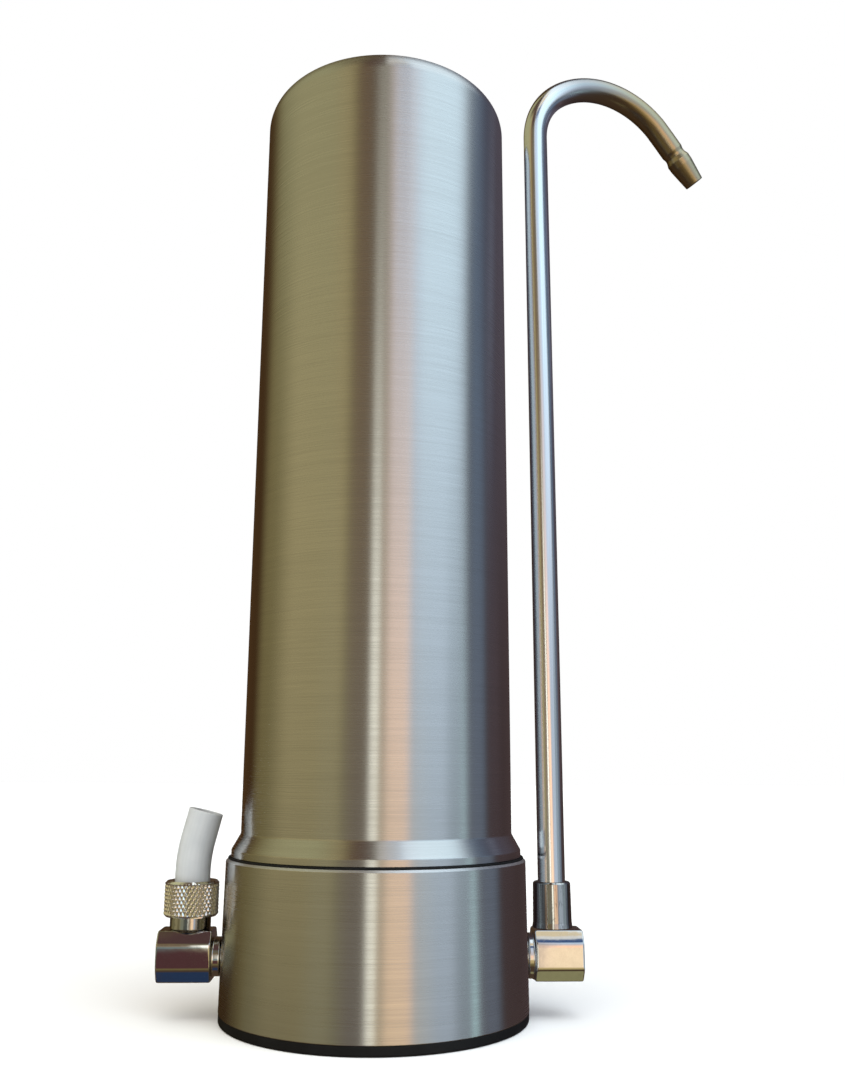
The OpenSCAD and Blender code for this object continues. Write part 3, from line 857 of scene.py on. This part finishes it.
# the hose stub: upright out of the nut, then a gentle lean to its square-cut end
def hose_frame(s):
    """s runs along the hose from its hidden end."""
    lean, rad, cut = math.radians(13.7), 48.3, 47.0 - 36.0
    arc = rad * lean
    x = z = t = 0.0
    if s <= cut:
        z = s
    elif s <= cut + arc:
        t = (s - cut) / rad
        x, z = rad * (1 - math.cos(t)), cut + rad * math.sin(t)
    else:
        t = lean
        d = s - cut - arc
        x = rad * (1 - math.cos(t)) + d * math.sin(t)
        z = cut + rad * math.sin(t) + d * math.cos(t)
    P = np.array((IN_X + x, 0.0, 36.0 + z))
    T = np.array((math.sin(t), 0.0, math.cos(t)))
    N = np.array((math.cos(t), 0.0, -math.sin(t)))
    return P, N, np.array((0.0, 1.0, 0.0)), T


HOSE_LEN = 11.0 + 48.3 * math.radians(13.7) + 9.5
hose = turned(
    "hose_stub",
    [(4.2, 0.0, 0.15, 2), (6.0, 0.0, 0.2, 3), (6.0, HOSE_LEN, 0.22, 4), (4.2, HOSE_LEN, 0.22, 4)],
    seg=112,
    at=hose_frame,
    longest=lambda s: 0.8,
)
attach(hose, "base")
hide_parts("inlet_hose")
dress(hose, "hose")

# the spout's collar
collar = turned(
    "spout_collar_turned",
    [
        (3.6, 23.6, 0.15, 2), (5.0, 23.6, 0.3, 3), (5.0, 28.6, 0.1, 2), (7.05, 28.6, 0.3, 4),
        (6.75, 30.6, 1.2, 6), (6.55, 43.5, 0.5, 4), (6.1, 44.0, 0.25, 4), (5.8, 44.0, 0.1, 2), (5.8, 29.5, 0.1, 2), (3.6, 29.5, 0.2, 2),
    ],
    seg=128,
    at=axis_frame(OUT_X, 0),
)
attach(collar, "base")
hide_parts("spout_collar")
dress(collar, "drawn")
collar.visible_glossy = False

# the gooseneck spout: upright, tight bend, wide bend, straight end with a swaged nozzle
BEND_Z, R1, A1, R2, A2, END = 338.4, 29.2, math.radians(50), 37.4, math.radians(89), 26.3
DIR = math.radians(20)
S0 = 30.0
S_UP = BEND_Z - S0
S_A = S_UP + R1 * A1
S_B = S_A + R2 * A2
S_END = S_B + END


def spout_frame(s):
    ex, ez = R1 * (1 - math.cos(A1)), BEND_Z + R1 * math.sin(A1)
    cx, cz = ex + R2 * math.cos(A1), ez - R2 * math.sin(A1)
    if s <= S_UP:
        t, x, z = 0.0, 0.0, S0 + s
    elif s <= S_A:
        t = (s - S_UP) / R1
        x, z = R1 * (1 - math.cos(t)), BEND_Z + R1 * math.sin(t)
    else:
        t = min(A1 + (s - S_A) / R2, A1 + A2)
        x, z = cx - R2 * math.cos(t), cz + R2 * math.sin(t)
        if s > S_B:
            x += (s - S_B) * math.sin(t)
            z += (s - S_B) * math.cos(t)
    cd, sd = math.cos(DIR), math.sin(DIR)
    P = np.array((OUT_X + x * cd, x * sd, z))
    T = np.array((math.sin(t) * cd, math.sin(t) * sd, math.cos(t)))
    N = np.array((math.cos(t) * cd, math.cos(t) * sd, -math.sin(t)))
    return P, N, np.cross(T, N), T


TR, TB = 4.8, 4.0
spout = turned(
    "gooseneck_spout",
    [
        (TB, 0.0, 0.15, 2), (TR, 0.0, 0.25, 4), (TR, 4.95, 0.05, 2), (TR - 0.25, 4.95, 0.05, 2), (TR - 0.25, 5.75, 0.05, 2), (TR, 5.75, 0.05, 2),
        (TR, S_END - 17.0, 2.4, 6), (TR - 0.35, S_END - 15.6, 1.8, 6), (TR - 0.35, S_END - 14.4, 1.8, 6),
        (TR + 0.36, S_END - 12.4, 1.6, 8), (TR + 0.30, S_END - 9.6, 6.0, 8), (TR - 0.80, S_END, 0.3, 5),
        (3.2, S_END, 0.35, 5), (3.2, S_END - 1.0, 0.5, 3), (TB, S_END - 9.0, 2.0, 4),
    ],
    seg=112,
    at=spout_frame,
    longest=lambda s: 0.8 if S_UP - 2 < s < S_B + 2 else 6.0,
)
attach(spout, "spout")
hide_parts("spout_tube")
dress(spout, "tube")
spout.visible_glossy = False

# ---------------------------------------------------------------- inner parts
# the head's outside thread: a low helical ridge round its spigot
def helix(name, r_in, r_out, z0, turns, pitch, root, crest, per=120):
    n = int(round(turns * per))
    verts, faces = [], []
    for i in range(n + 1):
        a = 2 * math.pi * i / per
        z = z0 + pitch * i / per
        grow = min(1.0, i / (per * 0.12), (n - i) / (per * 0.12))
        grow = grow * grow * (3 - 2 * grow)
        ro = r_in + 0.05 + (r_out - r_in - 0.05) * grow
        ca, sa = math.cos(a), math.sin(a)
        for r, h in ((r_in, -root), (ro, -crest), (ro, crest), (r_in, root)):
            verts.append((r * ca, r * sa, z + h))
    for i in range(n):
        for j in range(4):
            a, b = 4 * i + j, 4 * i + (j + 1) % 4
            faces.append((a, a + 4, b + 4, b))
    faces.append((0, 1, 2, 3))
    faces.append((4 * n + 3, 4 * n + 2, 4 * n + 1, 4 * n))
    return mesh_object(name, verts, faces, sharp=25)


thread = helix("head_thread", 43.55, 44.05, 67.2, 2.6, 4.0, 1.3, 0.55)
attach(thread, "base")
dress(thread, "head")

# the shell's threaded ring, seen from below when the shell is off
thread_ring = turned(
    "thread_ring_turned",
    [
        (44.15, 65.6, 0.25, 3), (46.25, 65.6, 0.2, 3), (46.25, 78.0, 0.2, 3), (44.15, 78.0, 0.25, 3),
        (44.15, 76.4, 0.1, 2), (44.7, 75.8, 0.1, 2), (44.7, 74.6, 0.1, 2), (44.15, 74.0, 0.1, 2),
        (44.15, 72.4, 0.1, 2), (44.7, 71.8, 0.1, 2), (44.7, 70.6, 0.1, 2), (44.15, 70.0, 0.1, 2),
        (44.15, 68.6, 0.1, 2), (44.7, 68.0, 0.1, 2), (44.7, 66.9, 0.1, 2), (44.15, 66.4, 0.1, 2),
    ],
    seg=224,
)
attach(thread_ring, "canister")
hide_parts("shell_thread_ring")
dress(thread_ring, "turned")


# the cartridge: fluted caps and a pressed fleece wrap with a lapped seam
def flutes(lo, hi, count, depth):
    def wave(ang, r, s):
        if r < 31.0:
            return np.full(len(ang), r)
        share = min(1.0, max(0.0, min(s - lo, hi - s) / 1.2))
        share = share * share * (3 - 2 * share)
        return r - depth * share * (0.5 - 0.5 * np.cos(count * ang))
    return wave


top_cap = turned(
    "cartridge_cap_top",
    [
        (0.0, 303.0), (10.3, 303.0, 0.4, 3), (10.3, 306.0, 0.3, 3), (30.05, 306.0, 0.3, 3), (30.05, 300.0, 0.2, 2),
        (31.75, 300.0, 0.35, 3), (31.75, 312.0, 1.1, 6), (24.0, 312.0, 0.5, 4), (24.0, 310.4, 0.4, 3),
        (14.0, 310.4, 0.4, 3), (14.0, 312.0, 0.5, 4), (0.0, 312.0),
    ],
    seg=432,
    closed=False,
    longest=lambda s: 0.5,
    wave=flutes(301.2, 310.6, 54, 0.5),
)
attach(top_cap, "cartridge")
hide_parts("cartridge_top_cap")
dress(top_cap, "cap")

rib_v, rib_f = [], []
for i in range(8):
    a = math.pi * (i + 0.5) / 4
    u, w = np.array((math.cos(a), math.sin(a), 0.0)), np.array((-math.sin(a), math.cos(a), 0.0))
    base = len(rib_v)
    for r, h in ((13.8, 310.2), (24.2, 310.2), (24.2, 311.1), (23.4, 311.6), (14.6, 311.6), (13.8, 311.1)):
        for side in (-1, 1):
            rib_v.append(u * r + w * side * (0.9 if h < 311.5 else 0.7) + np.array((0, 0, h)))
    for j in range(6):
        k = (j + 1) % 6
        rib_f.append((base + 2 * j, base + 2 * j + 1, base + 2 * k + 1, base + 2 * k))
    rib_f.append(tuple(base + 2 * j for j in range(6)))
    rib_f.append(tuple(base + 2 * j + 1 for j in range(5, -1, -1)))
ribs = mesh_object("cartridge_cap_ribs", rib_v, rib_f, sharp=25)
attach(ribs, "cartridge")
dress(ribs, "cap")

low_cap = turned(
    "cartridge_cap_bottom",
    [
        (6.0, 41.0, 0.4, 3), (11.6, 41.0, 0.8, 5), (11.6, 44.0, 0.15, 2), (9.85, 44.0, 0.15, 2), (9.85, 46.2, 0.15, 2),
        (11.6, 46.2, 0.15, 2), (11.6, 49.0, 0.15, 2), (9.85, 49.0, 0.15, 2), (9.85, 51.2, 0.15, 2), (11.6, 51.2, 0.15, 2),
        (11.6, 58.0, 0.6, 4), (31.75, 58.0, 1.1, 6), (31.75, 70.0, 0.35, 3), (30.05, 70.0, 0.2, 2),
        (30.05, 64.0, 0.3, 3), (10.3, 64.0, 0.3, 3), (10.3, 67.0, 0.4, 3), (6.0, 67.0, 0.4, 3),
    ],
    seg=432,
    longest=lambda s: 0.5,
    wave=flutes(59.4, 68.8, 54, 0.5),
)
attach(low_cap, "cartridge")
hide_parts("cartridge_bottom_cap")
dress(low_cap, "cap")


def quilt(ang, r, s):
    if r < 30.4:
        return np.full(len(ang), r)
    end = min(1.0, (s - 70.2) / 3.0, (299.8 - s) / 3.0)
    lap = np.abs(np.mod(ang - math.radians(250) + math.pi, 2 * math.pi) - math.pi) * 30.8
    lap = np.clip((4.2 - lap) / 0.6, 0, 1)
    lap = lap * lap * (3 - 2 * lap)
    soft = np.cos(30 * ang + 0.42 * s) * np.cos(30 * ang - 0.42 * s)
    return r - 0.09 + end * (0.09 * soft * (1 - 0.7 * lap) + 0.28 * lap)


wrap = turned(
    "cartridge_fleece",
    [(30.1, 70.2, 0.1, 2), (30.85, 70.2, 0.3, 4), (30.85, 299.8, 0.3, 4), (30.1, 299.8, 0.1, 2)],
    seg=420,
    longest=lambda s: 1.6,
    wave=quilt,
)
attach(wrap, "cartridge")
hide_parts("cartridge_wrap")
dress(wrap, "fleece")

KEPT = {
    "base_plate": "zinc", "base_screws": "zinc", "head": "head", "inlet_o_ring": "seal",
    "hose_insert": "brass", "hose_ferrule": "acetal", "outlet_o_ring": "seal",
    "spout_bush": "bush", "spout_o_rings": "seal", "spout_clip": "zinc",
    "shell_o_ring": "seal", "carbon_block": "carbon", "cartridge_core": "core", "cartridge_o_rings": "seal",
}
for name, key in KEPT.items():
    dress(nodes[name], key)
for name in ("outlet_o_ring", "spout_bush", "spout_o_rings", "spout_clip"):
    nodes[name].visible_glossy = False

# ---------------------------------------------------------------- stage
floor_me = bpy.data.meshes.new("floor")
floor_me.from_pydata([(-6, -6, 0), (6, -6, 0), (6, 6, 0), (-6, 6, 0)], [], [(0, 1, 2, 3)])
floor = link_object(bpy.data.objects.new("floor", floor_me))
floor.location.z = -0.0001
fm, fkk, fb = material("pale_floor", Roughness=0.9)
fb.inputs["Specular IOR Level"].default_value = 0.1
fn = fkk.noise(fkk.coords((3, 3, 3)), detail=2)
fkk.put(fb.inputs["Base Color"], fkk.mix(fn, (0.93, 0.93, 0.93), (0.95, 0.95, 0.95)))
floor_me.materials.append(fm)
floor.visible_glossy = False

sun = bpy.data.lights.new("soft_key", "SUN")
sun.energy = 3.2
sun.angle = math.radians(110)
sun_ob = link_object(bpy.data.objects.new("soft_key", sun))
sun_ob.rotation_euler = (math.radians(28), math.radians(-6), 0)
sun_ob.visible_glossy = False


def make_world():
    """Soft studio surroundings: a warm wall on the left, a pale window on the right, dark corners behind."""
    w = bpy.data.worlds.new("studio")
    scene.world = w
    w.use_nodes = True
    t = w.node_tree
    t.nodes.clear()
    k = Nodes(t)
    tc = k.add("ShaderNodeTexCoord")
    sep = k.add("ShaderNodeSeparateXYZ")
    k.put(sep.inputs[0], tc.outputs["Generated"])
    az = k.math("DEGREES", k.math("ARCTAN2", sep.outputs[0], k.math("MULTIPLY", sep.outputs[1], -1.0)))
    el = k.math("DEGREES", k.math("ARCSINE", sep.outputs[2]))

    def band(v, lo, hi, s0, s1):
        out = None
        if lo is not None:
            out = k.ramp(v, lo - s0, lo + s0, 0.0, 1.0, smooth=True)
        if hi is not None:
            dn = k.ramp(v, hi - s1, hi + s1, 1.0, 0.0, smooth=True)
            out = dn if out is None else k.math("MULTIPLY", out, dn)
        return out

    def seen(c):
        return tuple(v / STEEL_GAIN for v in lin(*c))

    col = seen((62, 50, 40))
    # colour as it shows on the steel; azimuth from the camera's side, + to the right; then elevation
    patches = [
        # warm wall on the left
        ((58, 40, 22), (-170, -118, 8, 10), None),
        ((110, 100, 66), (-126, -22, 10, 6), None),
        ((150, 138, 100), (-94, -30, 16, 7), None),
        ((92, 92, 74), (-112, -22, 12, 6), (None, -8, 0, 7)),
        ((42, 31, 17), (-174, -113, 5, 9), (None, -8, 0, 4)),
        ((144, 142, 108), (-124, -46, 10, 12), (28, None, 10, 0)),
        ((108, 91, 68), (-27, -6, 4, 4), (8, None, 8, 0)),
        ((122, 110, 92), (-29, -8, 4, 3), (None, 8, 0, 8)),
        ((107, 115, 106), (-50, -9, 10, 4), (None, -6, 0, 5)),
        ((90, 87, 72), (-13, 4, 3, 3), (27, None, 8, 0)),
        # bright strip, then the window with its warm lower corner
        ((140, 136, 130), (2, 9, 2, 3), None),
        ((268, 267, 252), (-7.5, 0, 2.2, 1.8), (None, 16, 0, 9)),
        ((282, 282, 266), (-6.5, 1.4, 2.2, 1.6), (-7, 3, 2.5, 5)),
        ((106, 118, 118), (-22, -6.4, 6, 2), (None, -7, 0, 3)),
        ((176, 158, 140), (1, 8, 1.8, 3), (None, 20, 0, 9)),
        ((280, 280, 262), (-5.4, -0.6, 1.5, 1.5), (None, -7, 0, 3)),
        ((194, 187, 190), (7, 30, 3, 6), None),
        ((172, 191, 210), (10, 32, 4, 6), (24, None, 8, 0)),
        ((256, 209, 174), (7, 26, 3, 5), (None, 8, 0, 7)),
        ((240, 215, 178), (6, 22.5, 3, 5), (None, -6, 0, 4)),
        ((156, 168, 181), (28, 78, 6, 11), None),
        ((188, 203, 221), (26, 77, 6, 11), (9, None, 10, 0)),
        ((210, 238, 252), (34, 80, 8, 12), (22, None, 10, 0)),
        ((172, 187, 201), (27, 58, 4, 5), (None, -8.5, 0, 3)),
        ((125, 138, 147), (60, 84, 5, 6), (None, 7, 0, 6)),
        ((215, 262, 264), (74, 80, 2, 2), (-24, -9.5, 5, 3)),
        ((76, 86, 98), (88, 106, 6, 7), None),
        ((96, 104, 117), (84, 101, 5, 6), (None, 9, 0, 6)),
        ((88, 104, 124), (88, 108, 6, 7), (10, None, 12, 0)),
        # dark corner on the right
        ((58, 47, 47), (106, 172, 7, 6), None),
        ((70, 73, 88), (107, 128, 7, 8), (14, None, 10, 0)),
        ((74, 70, 80), (126, 158, 8, 6), (14, None, 10, 0)),
        ((78, 66, 70), (105, 126, 5, 8), (0, 8, 4, 4)),
        ((106, 112, 128), (113, 124, 4, 5), (22, 30, 3, 3)),
        # overhead
        ((74, 60, 48), (-78, -2, 18, 5), (58, None, 8, 0)),
        ((72, 52, 50), (-26, -4, 5, 3), (42, 70, 6, 4)),
        ((206, 205, 200), (-1, 30, 4, 6), (55, None, 2, 0)),
        ((228, 243, 252), (28, 112, 7, 12), (44, None, 7, 0)),
        ((204, 188, 156), (8, 28, 3, 3), (59.5, 68, 1.2, 3)),
        ((62, 82, 118), (7, 26, 3, 3), (46, 55.5, 2, 1.2)),
        # below: dark counter with a golden patch in front
        ((66, 52, 40), None, (None, -19, 0, 6)),
        ((106, 95, 60), (-60, 16, 18, 12), (-44, -24, 8, 8)),
        ((178, 158, 110), (-6, 40, 9, 10), (-30, -14, 7, 4)),
        ((72, 46, 46), (-24, -3, 4, 2), (-36, -17, 5, 3)),
        ((34, 48, 72), (-36, -10, 5, 4), (None, -58, 0, 6)),
        ((124, 120, 86), (40, 110, 14, 14), (None, -74, 0, 3)),
    ]
    for c, a, e in patches:
        m = band(az, *a) if a is not None else None
        if e is not None:
            v = band(el, *e)
            m = v if m is None else k.math("MULTIPLY", m, v)
        col = k.mix(m, col, seen(c))
    path = k.add("ShaderNodeLightPath")
    col = k.mix(path.outputs["Is Camera Ray"], col, (1.0, 1.0, 1.0))
    bg = k.add("ShaderNodeBackground")
    k.put(bg.inputs["Color"], col)
    out = k.add("ShaderNodeOutputWorld")
    t.links.new(bg.outputs[0], out.inputs[0])


make_world()
scene.view_settings.view_transform = "Standard"
scene.view_settings.look = "None"
